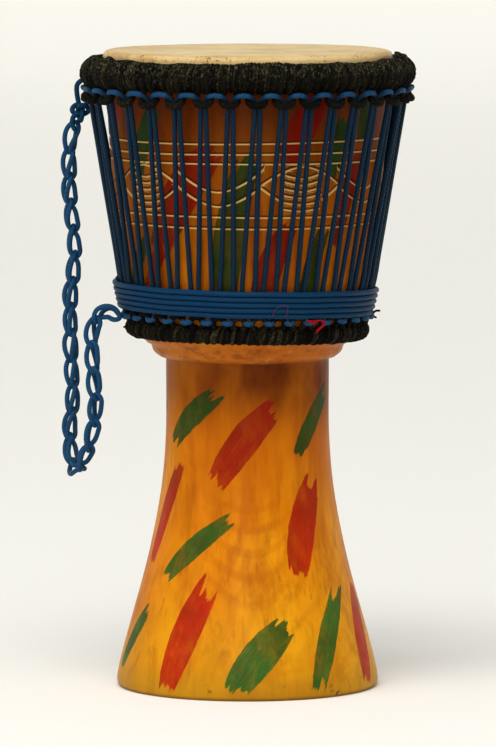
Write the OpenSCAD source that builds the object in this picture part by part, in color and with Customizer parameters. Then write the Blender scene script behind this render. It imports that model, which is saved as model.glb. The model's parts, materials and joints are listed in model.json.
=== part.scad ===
// Rope-tuned goblet drum (djembe), millimetres, +Z up.
// Origin: centre of the foot, on the surface it stands on. -Y faces the front.
// The goblet is carved from one log, open through the stem and closed by the skin.

/* [Shell] */
// Height of the drum from the floor to the playing face
drum_h = 500; // [480:1:520]
// Radius of the foot at its widest
foot_r = 103; // [98:0.5:106]
// Radius of the neck, the narrowest part of the stem
neck_r = 64; // [60:0.5:67]
// Height of the ledge where the bowl meets the stem
ledge_z = 259; // [256:1:262]
// Radius of the ledge where the bowl begins
ledge_r = 76; // [74:0.5:77]
// Radius of the shell at its rim
rim_r = 111.5; // [110.5:0.5:111.5]
// Radius of the sound hole through the throat
throat_r = 42; // [36:1:48]
// Wall of the bowl at the rim
rim_wall = 13; // [10:0.5:16]
// Wall of the stem at the floor
foot_wall = 14; // [10:0.5:18]

/* [Skin] */
// Thickness of the goat skin
skin_t = 1.2; // [0.8:0.1:1.4]

/* [Hoops and bindings] */
// Bar diameter of the three steel hoops
hoop_d = 6; // [5:0.5:6]
// Outer radius of the black binding at the crown
crown_r = 131; // [130.5:0.5:133]
// Diameter of the black cord in the crown loops
crown_cord_d = 4; // [3:0.5:4]
// Diameter of the black cord in the waist loops
waist_cord_d = 3; // [2.5:0.5:3]
// Number of loops round the crown, and round the waist
loop_count = 34; // [30:1:34]

/* [Rope] */
// Diameter of the blue lacing rope
rope_d = 4; // [3.5:0.1:4]
// Number of turns of rope wound round the waist
wrap_turns = 4.9; // [3.9:0.1:4.9]
// Width of the crocheted strap
strap_d = 10.5; // [9:0.5:11]

/* [Hidden] */
$fn = 96;

rope_r = rope_d / 2;
rope_sides = 6;
gap = 0.2;

// Shell outline
rim_z = drum_h - skin_t - 0.1;
bowl_z = ledge_z + 11;
neck_z = 224;
foot_z = 5;
bowl_steps = 16;
stem_steps = 14;

// Skin collar and flesh hoop: the skin runs down outside the rim, under the hoop and up again
collar_in = rim_r + gap;
fold_in = collar_in + skin_t;
fold_w = hoop_d + 1.4;
fold_out = fold_in + fold_w;
fold_z = rim_z - 21;
fold_top = rim_z - 9.5;
flesh_z = fold_z + hoop_d / 2 + 0.4;
flesh_r = fold_in + fold_w / 2;

// Crown hoop, outside the skin fold, and the cord bound round both
crown_hoop_r = fold_out + skin_t + hoop_d / 2 + 1.6;
crown_hoop_z = fold_z + 4;
crown_low = fold_z - skin_t - 5;
crown_top = drum_h - 5.8;

// Loops hanging under the crown
crown_loop_r = 7;
crown_loop_lean = 36;
crown_loop_arc = 280;
crown_loop_at = [crown_r - 7.3, drum_h - 31.8];
crown_run_r = crown_loop_at[0] + (crown_cord_d + rope_d) / 2 + gap;
crown_run_z = crown_loop_at[1] + 0.8;

// Waist ring: a cord-bound hoop that sits on the underside of the bowl
waist_hoop_r = ledge_r + 14.3;
waist_z = ledge_z + 22.5;
waist_bulk = 7.4;
waist_bulk_r = waist_hoop_r - 2.8;
waist_loop_r = 4.6;
waist_loop_lean = 26;
waist_loop_arc = 300;
waist_loop_at = [95.6, 290.1];
waist_run_z = 291.2;

// Rope wound round the waist
wrap_pitch = rope_d - 0.1;
wrap_top = 314.5;
wrap_start = -97;
wrap_steps = 36;

// The loops bunch a little at the front right and opposite it, as a hand leaves them,
// and the waist ring has turned a few degrees against the crown.
loop_pitch = 360 / loop_count;
bunch = 3;
bunch_at = 13;
waist_turn = -3;

// Strap: its centreline from the waist, down, round the bottom and up to the crown
strap_sides = 10;
strap_route = [
    [-101, -24, 294], [-108, -24, 297], [-115, -23, 295], [-120, -22, 287], [-122, -21, 275],
    [-121, -20, 255], [-119, -19, 235], [-120, -18, 215], [-123, -17, 198], [-127, -14, 184],
    [-131, -8, 174], [-135, 1, 170], [-138, 10, 173], [-140, 17, 183], [-141, 20, 200],
    [-138, 21, 225], [-139, 21, 260], [-140, 20, 300], [-137, 18, 340], [-140, 16, 380],
    [-140, 14, 415], [-138, 13, 432], [-134, 12, 444]
];
knot_at = [-131, 11.5, 451];
knot_r = 7;
bight_at = [-128, 8, 465];
bight_r = 8;
bight_arc = 250;

// Radius of the stem at height z: straight near the foot, easing into the neck
function stem_r(z, low, top, r_low, r_top) =
    r_top + (r_low - r_top) * (1 - pow(1 - pow((top - z) / (top - low), 2), 1.36));

// Radius of the bowl at height z: a flat start off the ledge that rises to the rim
function bowl_r(z, low, r_low, r_top, power) =
    r_low + (r_top - r_low) * sqrt(1 - pow(1 - (z - low) / (rim_z - low), power));

function shell_r(z) = bowl_r(z, bowl_z, ledge_r, rim_r, 1.56);

// A point at height z and radius r, at_deg round from the front towards +X
function ring_point(at_deg, r, z) = [r * sin(at_deg), -r * cos(at_deg), z];

// The same, moved s millimetres along the ring
function beside(at_deg, s, r, z) = ring_point(at_deg + s / r * 180 / PI, r, z);

function bunched(at_deg) = at_deg - bunch * sin(2 * (at_deg - bunch_at));
function crown_deg(k) = bunched(bunch_at + loop_pitch * k);
function waist_deg(k) = bunched(bunch_at + loop_pitch * (k + 0.5)) + waist_turn;

// Points of an arc in the profile plane
function arc(centre, r, from_deg, to_deg, steps) = [
    for (i = [0 : steps])
        let (a = from_deg + (to_deg - from_deg) * i / steps)
            centre + r * [cos(a), sin(a)]
];

function unit(v) = v / norm(v);
function flat(v) = unit([v[0], v[1], 0]);

// One ring of a rope's surface, square to the route at point p
function rope_ring(p, along, r, sides) =
    let (u = unit(cross(along, flat(p))), v = cross(u, along))
        [for (j = [0 : sides - 1]) p + r * (cos(360 * j / sides) * u + sin(360 * j / sides) * v)];

// A rope swept along a route; a closed one joins its last ring to its first
module rope(route, r, sides, closed) {
    n = len(route);
    last = closed ? n - 1 : n - 2;
    points = [
        for (i = [0 : n - 1])
            let (
                before = closed ? (i + n - 1) % n : max(i - 1, 0),
                after = closed ? (i + 1) % n : min(i + 1, n - 1),
                along = unit(unit(route[after] - route[i] + [0, 0, 1e-9])
                    + unit(route[i] - route[before] + [0, 0, 1e-9]))
            )
                each rope_ring(route[i], i == 0 && !closed ? unit(route[1] - route[0])
                    : i == n - 1 && !closed ? unit(route[n - 1] - route[n - 2]) : along, r, sides)
    ];
    sides_faces = [
        for (i = [0 : last], j = [0 : sides - 1])
            let (
                a = i * sides + j,
                b = i * sides + (j + 1) % sides,
                c = ((i + 1) % n) * sides + (j + 1) % sides,
                d = ((i + 1) % n) * sides + j
            )
                each [[a, b, c], [a, c, d]]
    ];
    caps = closed ? [] : [
        [for (j = [sides - 1 : -1 : 0]) j],
        [for (j = [0 : sides - 1]) (n - 1) * sides + j]
    ];
    polyhedron(points = points, faces = concat(sides_faces, caps), convexity = 10);
}

// A round bar bent into a ring about the drum's axis
module hoop(r, z, d) {
    rotate_extrude($fn = 144)
        translate([r, z])
            circle(d = d, $fn = 32);
}

// Outline of the shell's outside, down to the axis
module shell_outside() {
    stem = [
        for (i = [0 : stem_steps])
            let (z = foot_z + (neck_z - foot_z) * i / stem_steps)
                [stem_r(z, foot_z, neck_z, foot_r, neck_r), z]
    ];
    bowl = [
        for (i = [0 : bowl_steps])
            let (z = bowl_z + (rim_z - 2 - bowl_z) * pow(i / bowl_steps, 1.6))
                [shell_r(z), z]
    ];
    ledge = [
        [neck_r, ledge_z], [neck_r + 5, ledge_z + 1], [ledge_r - 3, ledge_z + 4],
        [ledge_r - 1, ledge_z + 8]
    ];
    polygon(concat(
        [[0, 0], [foot_r - 3, 0], [foot_r - 0.8, 1.6]], stem, ledge, bowl,
        [[rim_r - 1.5, rim_z], [0, rim_z]]
    ));
}

// Carved goblet: a flared stem, a ledge and a bowl, hollow from foot to rim
module shell() {
    throat_z = bowl_z;
    flare_z = 200;
    stem_bore = [
        for (i = [0 : stem_steps])
            let (z = flare_z * i / stem_steps)
                [stem_r(z, 0, flare_z, foot_r - foot_wall, throat_r), z]
    ];
    bowl_bore = [
        for (i = [0 : bowl_steps])
            let (z = throat_z + (rim_z - throat_z) * pow(i / bowl_steps, 1.6))
                [bowl_r(z, throat_z, throat_r, rim_r - rim_wall, 2), z]
    ];
    color("peru")
        rotate_extrude($fn = 144)
            difference() {
                shell_outside();
                polygon(concat(
                    [[-1, -1], [foot_r - foot_wall, -1]], stem_bore, bowl_bore,
                    [[rim_r - rim_wall, rim_z + 1], [-1, rim_z + 1]]
                ));
            }
}

// Goat skin: the playing face, the collar down the rim and the fold that holds the flesh hoop
module drum_skin() {
    low = fold_z - skin_t;
    out = fold_out + skin_t;
    color("wheat")
        rotate_extrude($fn = 144)
            polygon([
                [0, drum_h], [fold_in - 1.4, drum_h], [fold_in, drum_h - 1.4],
                [fold_in, fold_z + 1.2], [fold_in + 1.2, fold_z], [fold_out - 1.2, fold_z],
                [fold_out, fold_z + 1.2], [fold_out, fold_top], [out, fold_top],
                [out, fold_z + 0.7], [out - 1.9, low], [collar_in + 1.9, low],
                [collar_in, fold_z + 0.7], [collar_in, rim_z - 1.2],
                [collar_in - 1, rim_z + 0.1], [0, rim_z + 0.1]
            ]);
}

// Steel hoop inside the fold of the skin
module flesh_hoop() {
    color("gray")
        hoop(flesh_r, flesh_z, hoop_d);
}

// Steel hoop that the crown loops pull down
module crown_hoop() {
    color("gray")
        hoop(crown_hoop_r, crown_hoop_z, hoop_d);
}

// Black cord bound over the crown hoop and the skin's fold
module crown_binding() {
    inner = fold_in + gap;
    cavity = fold_out + skin_t + gap;
    cavity_low = fold_z - skin_t - gap;
    big = 7.5;
    small = 6;
    color("black")
        rotate_extrude($fn = 144)
            difference() {
                polygon(concat(
                    [[inner, crown_low + 2], [inner + 2, crown_low]],
                    arc([crown_r - small, crown_low + small], small, -90, 0, 5),
                    arc([crown_r - big, crown_top - big], big, 0, 90, 6),
                    [[inner + 2.5, crown_top], [inner, crown_top - 2.5]]
                ));
                translate([inner - 1, cavity_low])
                    square([cavity - inner + 1, fold_top + gap - cavity_low]);
                translate([crown_hoop_r, crown_hoop_z])
                    circle(d = hoop_d + 0.2, $fn = 32);
            }
}

// One bent cord, an open ring about its own centre, in a plane that faces outwards
module cord_loop(at_deg, at, r, arc_deg, lean, d, up) {
    rotate([0, 0, at_deg - 90])
        translate([at[0], 0, at[1]])
            rotate([0, lean, 0])
                rotate([0, 90, 0])
                    rotate([0, 0, (up ? 180 : 0) - arc_deg / 2])
                        rotate_extrude(angle = arc_deg, $fn = 48)
                            translate([r, 0])
                                circle(d = d, $fn = 24);
}

// Black cord loops that hang from the crown and carry the lacing
module crown_loops() {
    color("black")
        for (k = [0 : loop_count - 1])
            cord_loop(crown_deg(k), crown_loop_at, crown_loop_r, crown_loop_arc,
                -crown_loop_lean, crown_cord_d, false);
}

// Steel hoop under the bowl that the lacing pulls up
module waist_hoop() {
    color("gray")
        hoop(waist_hoop_r, waist_z, hoop_d);
}

// Black cord bound over the waist hoop, lying against the bowl
module waist_binding() {
    color("black")
        rotate_extrude($fn = 144)
            difference() {
                translate([waist_bulk_r, waist_z])
                    circle(r = waist_bulk, $fn = 48);
                offset_shell();
                translate([waist_hoop_r, waist_z])
                    circle(d = hoop_d + 0.2, $fn = 32);
            }
}

// The shell's outline moved out by the fitting gap
module offset_shell() {
    translate([gap, -gap])
        shell_outside();
}

// Black cord loops that stand up from the waist ring
module waist_loops() {
    color("black")
        for (k = [0 : loop_count - 1])
            cord_loop(waist_deg(k), waist_loop_at, waist_loop_r, waist_loop_arc,
                waist_loop_lean, waist_cord_d, true);
}

// The lacing's bend at a crown loop, on its left (-1) or right (1), from the run inwards
function crown_bend(k, side) =
    let (a = crown_deg(k), r = crown_run_r, z = crown_run_z) [
        beside(a, side * 9, r, z),
        beside(a, side * 4.2, r - 1, z - 0.2),
        beside(a, side * 2.3, r - 3.4, z - 3.2),
        beside(a, side * 2.2, r - 5.2, z - 11)
    ];

// The lacing's bend at a waist loop, from under the wound rope outwards
function waist_bend(k, side) =
    let (a = waist_deg(k)) [
        beside(a, side * 3.3, shell_r(320) + rope_r + 1.4, 320),
        beside(a, side * 3.4, shell_r(300) + rope_r + gap, 300),
        beside(a, side * 4.4, shell_r(294) + rope_r + gap, 294),
        beside(a, side * 7, shell_r(waist_run_z) + rope_r + gap, waist_run_z)
    ];

function reversed(list) = [for (i = [len(list) - 1 : -1 : 0]) list[i]];

// One blue rope, laced down and up between the crown loops and the waist loops all round
module lacing_rope() {
    route = [
        for (k = [0 : loop_count - 1])
            each concat(
                crown_bend(k, -1), waist_bend(k - 1, 1),
                reversed(waist_bend(k, -1)), reversed(crown_bend(k, 1))
            )
    ];
    color("midnightblue")
        rope(route, rope_r, rope_sides, true);
}

// The same kind of rope wound round the waist over the lacing
module waist_wrap() {
    rings = round(wrap_turns * wrap_steps);
    route = [
        for (i = [0 : rings])
            let (
                a = wrap_start + 360 * i / wrap_steps,
                z = wrap_top - wrap_pitch * i / wrap_steps
            )
                ring_point(a, shell_r(z) + 3 * rope_r + 3 * gap, z)
    ];
    color("royalblue")
        rope(route, rope_r, 8, false);
}

// Bight of the strap's rope, passed through a crown loop
module strap_bight() {
    color("midnightblue")
        translate(bight_at)
            rotate([90, 0, 20])
                rotate([0, 0, 90 - bight_arc / 2])
                    rotate_extrude(angle = bight_arc, $fn = 48)
                        translate([bight_r, 0])
                            circle(r = rope_r, $fn = 24);
}

// Knot that closes the bight, where the strap's chain begins
module strap_knot() {
    color("midnightblue")
        translate(knot_at)
            sphere(r = knot_r, $fn = 48);
}

// Strap: the spare rope crocheted into a chain that hangs down the drum's left side
module strap_chain() {
    color("steelblue")
        rope(strap_route, strap_d / 2, strap_sides, false);
}

shell();
drum_skin();
flesh_hoop();
crown_hoop();
crown_binding();
crown_loops();
waist_hoop();
waist_binding();
waist_loops();
lacing_rope();
waist_wrap();
strap_bight();
strap_knot();
strap_chain();
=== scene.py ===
import json
from math import atan2, cos, degrees, pi, radians, sin, sqrt

import bpy
import numpy as np
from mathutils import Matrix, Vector


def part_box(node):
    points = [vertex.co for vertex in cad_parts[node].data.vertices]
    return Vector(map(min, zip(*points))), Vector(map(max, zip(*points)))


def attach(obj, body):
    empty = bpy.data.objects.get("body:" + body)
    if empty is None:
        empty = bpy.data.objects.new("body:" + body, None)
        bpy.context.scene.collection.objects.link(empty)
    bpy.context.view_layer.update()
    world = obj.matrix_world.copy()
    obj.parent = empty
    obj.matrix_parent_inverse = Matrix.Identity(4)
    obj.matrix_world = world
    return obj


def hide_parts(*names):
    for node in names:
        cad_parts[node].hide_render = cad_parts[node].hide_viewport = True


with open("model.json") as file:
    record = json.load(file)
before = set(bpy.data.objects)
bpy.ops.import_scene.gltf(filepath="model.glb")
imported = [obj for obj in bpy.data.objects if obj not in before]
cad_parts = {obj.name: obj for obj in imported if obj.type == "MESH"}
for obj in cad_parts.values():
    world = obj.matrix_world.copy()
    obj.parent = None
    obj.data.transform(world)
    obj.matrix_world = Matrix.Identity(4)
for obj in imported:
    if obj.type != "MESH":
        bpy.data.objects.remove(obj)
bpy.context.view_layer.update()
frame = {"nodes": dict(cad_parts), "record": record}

RNG = np.random.default_rng(7)
TAU = 2 * pi
MM = 0.001
UP = np.array([0, 0, 1.0])

# ---------- sizes, read from the CAD frame

SHELL_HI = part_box("shell")[1]
SKIN_LO, SKIN_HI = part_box("drum_skin")
CROWN_LO, CROWN_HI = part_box("crown_binding")
WRAP_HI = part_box("waist_wrap")[1]
WAIST_LO, WAIST_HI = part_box("waist_binding")
KNOT_LO, KNOT_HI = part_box("strap_knot")
BIGHT_LO, BIGHT_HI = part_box("strap_bight")

TOP = SKIN_HI.z
RIM_Z = SHELL_HI.z
RIM_R = SHELL_HI.x
RIM_WALL = 0.013
FOOT_WALL = 0.014
FOOT_Z = 0.005
LEDGE_H = 0.011
THROAT = next(m for m in frame["record"]["mounts"] if m["name"] == "sound_hole")
THROAT_R = THROAT["dims"]["r_mm"] / 1000
LOOPS = 34
ROPE_R = 0.002


def shell_sizes():
    """Off the CAD shell: the foot's and neck's radius, the neck's two ends, the bowl's lowest radius."""
    spots = np.array([v.co for v in frame["nodes"]["shell"].data.vertices])
    radius, height = np.hypot(spots[:, 0], spots[:, 1]), spots[:, 2]
    reach = THROAT["dims"]["length_mm"] / 2000 - 0.001
    waist = (radius > 1.2 * THROAT_R) & (abs(height - THROAT["pos_m"][2]) < reach)
    neck_r = radius[waist].min()
    neck = height[waist & (radius < neck_r + 0.0002)]
    bowl_r = radius[abs(height - neck.max() - LEDGE_H) < 0.0004].max()
    sizes = radius[height < 0.05].max(), neck_r, neck.min(), neck.max(), bowl_r
    return [round(float(v), 4) for v in sizes]


FOOT_R, NECK_R, NECK_Z, LEDGE_Z, LEDGE_R = shell_sizes()
BOWL_Z = LEDGE_Z + LEDGE_H
BAND_Z = 0.8 * TOP
RUN_Z = WAIST_HI.z + 0.0033


def stem_r(z, low, top, r_low, r_top):
    """Radius of the flared stem at height z."""
    t = np.clip((top - z) / (top - low), 0, 1)
    return r_top + (r_low - r_top) * (1 - (1 - t * t) ** 1.36)


def bowl_r(z, low, r_low, r_top, power):
    """Radius of the bowl at height z."""
    t = np.clip((z - low) / (RIM_Z - low), 0, 1)
    return r_low + (r_top - r_low) * np.sqrt(1 - (1 - t) ** power)


def shell_r(z):
    """Radius of the shell's outside at height z, on the stem or on the bowl."""
    stem = stem_r(z, FOOT_Z, NECK_Z, FOOT_R, NECK_R)
    return np.where(z < LEDGE_Z, stem, bowl_r(z, BOWL_Z, LEDGE_R, RIM_R, 1.56))


def turned(r, a, z):
    """Points at radius r and height z, a radians round from the front towards +X."""
    return np.stack([r * np.sin(a), -r * np.cos(a), z], -1)


def ring_point(deg, r, z):
    """One such point, from degrees."""
    return turned(r, radians(deg), z)


def beside(deg, s, r, z):
    """The same, moved s metres along the ring."""
    return ring_point(deg + degrees(s / r), r, z)


def bunched(deg):
    return deg - 3 * sin(radians(2 * (deg - 13)))


def crown_deg(k):
    return bunched(13 + 360 / LOOPS * k)


def waist_deg(k):
    return bunched(13 + 360 / LOOPS * (k + 0.5)) - 3


# ---------- mesh helpers


class Soup:
    """Collects the faces of one piece, with a UV map and a value per point: a random tone per cord, and on
    the blue rope painted shade and highlight.
    """

    def __init__(self):
        self.verts, self.faces, self.uvs, self.strand, self.count = [], [], [], [], 0

    def add(self, verts, faces, uvs, strand):
        """faces index verts; uvs has one pair for every corner of every face."""
        self.verts.append(np.asarray(verts, float))
        self.faces += [[i + self.count for i in f] for f in faces]
        self.uvs.append(np.asarray(uvs, float))
        self.strand.append(np.broadcast_to(strand, len(verts)))
        self.count += len(verts)

    def build(self, name, slot, *nodes, look=None):
        """Makes the piece: its look is its slot's, unless it has its own."""
        mesh = bpy.data.meshes.new(name)
        mesh.from_pydata(np.vstack(self.verts).tolist(), [], self.faces)
        layer = mesh.uv_layers.new(name="UVMap")
        layer.data.foreach_set("uv", np.vstack(self.uvs).ravel())
        value = mesh.attributes.new("strand", "FLOAT", "POINT")
        value.data.foreach_set("value", np.concatenate(self.strand).astype(np.float32))
        mesh.shade_smooth()
        mesh.materials.append(look or LOOKS[slot])
        obj = link(bpy.data.objects.new(name, mesh))
        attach(obj, "root")
        if nodes:
            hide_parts(*nodes)
        return obj


def spline(points, step, closed=False):
    """A smooth line through points, sampled about every step metres."""
    p = np.asarray(points, float)
    n = len(p)
    out = []
    for i in range(n if closed else n - 1):
        p1, p2 = p[i], p[(i + 1) % n]
        p0 = p[i - 1] if closed or i > 0 else 2 * p1 - p2
        p3 = p[(i + 2) % n] if closed or i + 2 < n else 2 * p2 - p1
        gap = np.linalg.norm(p2 - p1)
        m1 = (p2 - p0) * gap / max(gap + np.linalg.norm(p1 - p0), 1e-9)
        m2 = (p3 - p1) * gap / max(gap + np.linalg.norm(p3 - p2), 1e-9)
        k = max(1, int(round(gap / step)))
        t = (np.arange(k) / k)[:, None]
        out.append(
            (2 * t**3 - 3 * t**2 + 1) * p1 + (t**3 - 2 * t**2 + t) * m1
            + (3 * t**2 - 2 * t**3) * p2 + (t**3 - t**2) * m2
        )
    if not closed:
        out.append(p[-1:])
    return np.vstack(out)


def unit(v):
    return v / np.maximum(np.linalg.norm(v, axis=-1, keepdims=True), 1e-12)


def frames(p, closed):
    """Tangent and two square directions along p that turn as little as they can."""
    if closed:
        t = unit(np.roll(p, -1, 0) - np.roll(p, 1, 0))
    else:
        t = unit(np.gradient(p, axis=0))
    side = unit(p[0] * [1, 1, 0] + [1e-6, 0, 0])
    if abs(side @ t[0]) > 0.95:
        side = UP
    u = np.empty_like(p)
    u[0] = unit(side - (side @ t[0]) * t[0])
    for i in range(1, len(p)):
        v = u[i - 1] - (u[i - 1] @ t[i]) * t[i]
        u[i] = v / sqrt(v @ v)
    if closed:
        end = u[-1] - (u[-1] @ t[0]) * t[0]
        turn = atan2(np.cross(end, u[0]) @ t[0], end @ u[0])
        a = (np.arange(len(p)) / len(p) * turn)[:, None]
        u = np.cos(a) * u + np.sin(a) * np.cross(t, u)
    return t, u, np.cross(t, u)


def travelled(p):
    """How far along the line p each of its points is."""
    return np.concatenate([[0], np.cumsum(np.linalg.norm(np.diff(p, axis=0), axis=1))])


def rope(soup, p, radius, sides=12, closed=False, lobes=0, depth=0.0, lay=0.012, strand=0.5):
    """Sweeps one rope along p. Laid cord has lobes that wind round once every lay metres."""
    p = np.asarray(p, float)
    n = len(p)
    _, u, v = frames(p, closed)
    s = travelled(np.vstack([p, p[:1]]) if closed else p)
    a = np.arange(sides) / sides * TAU
    if closed and lobes:
        lay = s[-1] / max(1, round(s[-1] / lay * lobes)) * lobes
    r = np.broadcast_to(np.asarray(radius, float), (n,))[:, None] * (
        1 + depth * np.cos(lobes * (a[None] - TAU * s[:n, None] / lay)))
    if not closed:
        r[0] *= 0.55
        r[-1] *= 0.55
    ring = p[:, None] + r[..., None] * (
        np.cos(a)[None, :, None] * u[:, None] + np.sin(a)[None, :, None] * v[:, None])
    faces, uvs = [], []
    for i in range(n if closed else n - 1):
        for j in range(sides):
            corners = (i, j), (i, j + 1), (i + 1, j + 1), (i + 1, j)
            faces.append([k % n * sides + m % sides for k, m in corners])
            uvs += [(s[k], m / sides) for k, m in corners]
    if not closed:
        faces.append(list(range(sides))[::-1])
        faces.append([(n - 1) * sides + j for j in range(sides)])
        uvs += [(0, 0)] * (2 * sides)
    soup.add(ring.reshape(-1, 3), faces, uvs, np.repeat(np.broadcast_to(strand, n), sides))


# ---------- shader helpers


def linear(code, share=1.0):
    """A colour written as it shows on screen, or a share of it, in the shader's linear values."""
    values = [int(code[i:i + 2], 16) / 255 for i in (0, 2, 4)]
    return (*(share * (c / 12.92 if c < 0.04045 else ((c + 0.055) / 1.055) ** 2.4) for c in values), 1)


class Shader:
    """A material's node tree, with short calls for the nodes that the looks use."""

    def __init__(self, name, specular=0.5, **inputs):
        self.mat = bpy.data.materials.new(name)
        self.mat.use_nodes = True
        self.tree = self.mat.node_tree
        self.bsdf = self.tree.nodes["Principled BSDF"].inputs
        self.bsdf["Specular IOR Level"].default_value = specular
        for key, value in inputs.items():
            self.bsdf[key.replace("_", " ")].default_value = value

    def put(self, socket, value):
        if isinstance(value, bpy.types.NodeSocket):
            self.tree.links.new(value, socket)
        else:
            socket.default_value = linear(value) if isinstance(value, str) else value

    def node(self, kind, inputs, **settings):
        """A node of one kind, with its settings, and its inputs by name or number."""
        node = self.tree.nodes.new("ShaderNode" + kind)
        for key, value in settings.items():
            setattr(node, key, value)
        for key, value in inputs.items():
            self.put(node.inputs[key], value)
        return node

    def math(self, op, a, b=0.0, c=0.0):
        return self.node("Math", {0: a, 1: b, 2: c}, operation=op).outputs[0]

    def plus(self, a, b):
        return self.math("ADD", a, b)

    def minus(self, a, b):
        return self.math("SUBTRACT", a, b)

    def rest_of(self, share):
        return self.minus(1.0, share)

    def times(self, first, *others):
        for other in others:
            first = self.math("MULTIPLY", first, other)
        return first

    def scale_add(self, a, scale, more):
        return self.math("MULTIPLY_ADD", a, scale, more)

    def length(self, a, b):
        return self.math("SQRT", self.plus(self.times(a, a), self.times(b, b)))

    def attribute(self, name):
        return self.node("Attribute", {}, attribute_name=name).outputs

    def split(self, vector):
        return self.node("SeparateXYZ", {0: vector}).outputs

    def join(self, x, y, z):
        return self.node("CombineXYZ", {0: x, 1: y, 2: z}).outputs[0]

    def place(self, scale=(1, 1, 1), source="Object"):
        coord = self.node("TexCoord", {}).outputs[source]
        return self.node("Mapping", {"Vector": coord, "Scale": scale}).outputs[0]

    def noise(self, vector, scale, detail=3.0, rough=0.55, distort=0.0):
        return self.node("TexNoise", {"Vector": vector, "Scale": scale, "Detail": detail,
                                      "Roughness": rough, "Distortion": distort}).outputs[0]

    def ramp(self, value, *stops):
        node = self.node("ValToRGB", {0: value})
        ramp = node.color_ramp
        while len(ramp.elements) < len(stops):
            ramp.elements.new(0.5)
        for element, (place, *colour) in zip(ramp.elements, stops):
            element.position = place
            element.color = linear(*colour)
        return node.outputs[0]

    def step(self, value, low, high, out_low=0.0, out_high=1.0):
        inputs = dict(enumerate((value, low, high, out_low, out_high)))
        return self.node("MapRange", inputs, interpolation_type="SMOOTHSTEP").outputs[0]

    def mix(self, share, a, b):
        return self.node("Mix", {0: share, 6: a, 7: b}, data_type="RGBA").outputs[2]

    def stains(self, colour, *layers):
        """Lays colours over one another, each by the product of its shares."""
        for code, *shares in layers:
            colour = self.mix(self.times(*shares), colour, code)
        return colour

    def bump(self, height, strength, distance, **under):
        inputs = {"Height": height, "Strength": strength, "Distance": distance, **under}
        return self.node("Bump", inputs).outputs[0]

    def done(self, colour, rough, normal):
        for name, value in (("Base Color", colour), ("Roughness", rough), ("Normal", normal)):
            self.put(self.bsdf[name], value)
        return self.mat


# ---------- camera


def link(obj):
    bpy.context.scene.collection.objects.link(obj)
    return obj


def aim(obj, place, target):
    obj.location = place
    obj.rotation_mode = "QUATERNION"
    obj.rotation_quaternion = (Vector(target) - Vector(place)).to_track_quat("-Z", "Y")


def make_camera():
    """Stands a little above the drum and far back, so that the view is nearly flat."""
    data = bpy.data.cameras.new("camera")
    data.sensor_width, data.lens = 36, 336.5
    data.clip_start, data.clip_end = 0.1, 60
    cam = link(bpy.data.objects.new("camera", data))
    aim(cam, (0.0, -5.45, 0.76), (0.0004, 0.0, TOP * 0.492))
    bpy.context.scene.camera = cam
    bpy.context.scene.view_settings.view_transform = "Standard"


# ---------- rope and cord looks


def braid_height(s, along, across):
    """Two sets of strands that cross over and under each other, from UV in metres and turns."""
    u, v = s.split(s.place(source="UV"))[:2]
    a = s.scale_add(v, across, s.times(u, along))
    b = s.scale_add(v, -across, s.times(u, along))
    over = s.math("MODULO", s.plus(s.math("FLOOR", a), s.plus(s.math("FLOOR", b), 4000.0)), 2.0)
    arcs = []
    for x in (a, b):
        f = s.scale_add(s.math("FRACT", x), 2.0, -1.0)
        arcs.append(s.rest_of(s.times(f, f)))
    return s.scale_add(arcs[1], over, s.times(arcs[0], s.rest_of(over)))


def blue_rope_look():
    """Braided nylon; a low per-point value darkens the lacing with painted shade under the crown, a high one
    lightens the rope, a painted highlight on the bright runs.
    """
    s = Shader("blue_braided_rope", 0.08)
    height = braid_height(s, 300.0, 5.0)
    fibres = s.noise(s.place((3, 900, 1), source="UV"), 60, 2)
    shade = s.noise(s.place(), 22, 3)
    tone = s.plus(s.times(height, 0.55), s.times(fibres, 0.45))
    colour = s.ramp(tone, (0.05, "010E1C"), (0.45, "02233E"), (0.75, "04365C"), (1.0, "0C5480"))
    strand = s.attribute("strand")["Fac"]
    # Random tint, then painted shade on the lacing under the crown, and a painted highlight on the runs,
    # with the strap made lighter
    colour = s.stains(
        colour, ("083648", s.step(shade, 0.4, 0.75), 0.4),
        ("0A1210", s.step(strand, 0.5, 0.0, 0.0, 0.62)), ("3C78AC", s.step(strand, 0.5, 1.0, 0.0, 0.30)))
    bump = s.bump(s.scale_add(fibres, 0.25, height), 0.6, 0.0004)
    return s.done(colour, s.scale_add(shade, 0.25, 0.34), bump)


def black_cord_look():
    """Worn black cord: fuzzy, dusty in places, with grey-brown fibre flecks along the crown's upper edge,
    made pale there as a painted highlight.
    """
    s = Shader("black_cord", 0.05)
    fibres = s.noise(s.place((14, 60, 1), source="UV"), 30, 3)
    fuzz = s.noise(s.place(), 900, 2)
    worn = s.noise(s.place(), 35, 3)
    tone = s.scale_add(fuzz, 0.45, s.times(fibres, 0.45))
    tone = s.scale_add(s.attribute("strand")["Fac"], 0.20, tone)
    colour = s.ramp(tone, (0.30, "020201"), (0.54, "070604"), (0.67, "221E13"), (0.80, "7A704C"))
    # Fibre flecks, kept to the crown's top as a painted highlight where the light falls
    flecks = s.step(s.noise(s.place((1, 1, 0.6)), 520, 3, 0.6), 0.52, 0.66)
    high = s.step(s.split(s.place())[2], CROWN_HI.z - 0.014, CROWN_HI.z - 0.002)
    colour = s.stains(
        colour, ("484022", s.step(worn, 0.5, 0.72), s.step(fuzz, 0.5, 0.72), 0.5),
        ("6E6A50", flecks, high, 0.55))
    bump = s.bump(s.scale_add(fuzz, 0.5, fibres), 0.8, 0.0005)
    return s.done(colour, s.scale_add(fibres, 0.2, 0.62), bump)


def thread_look(name, code):
    s = Shader(name, 0.1)
    fibres = s.noise(s.place((40, 900, 1), source="UV"), 40, 2)
    colour = s.ramp(fibres, (0.3, code, 0.45), (0.62, code))
    return s.done(colour, 0.7, s.bump(fibres, 0.5, 0.0002))


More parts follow.
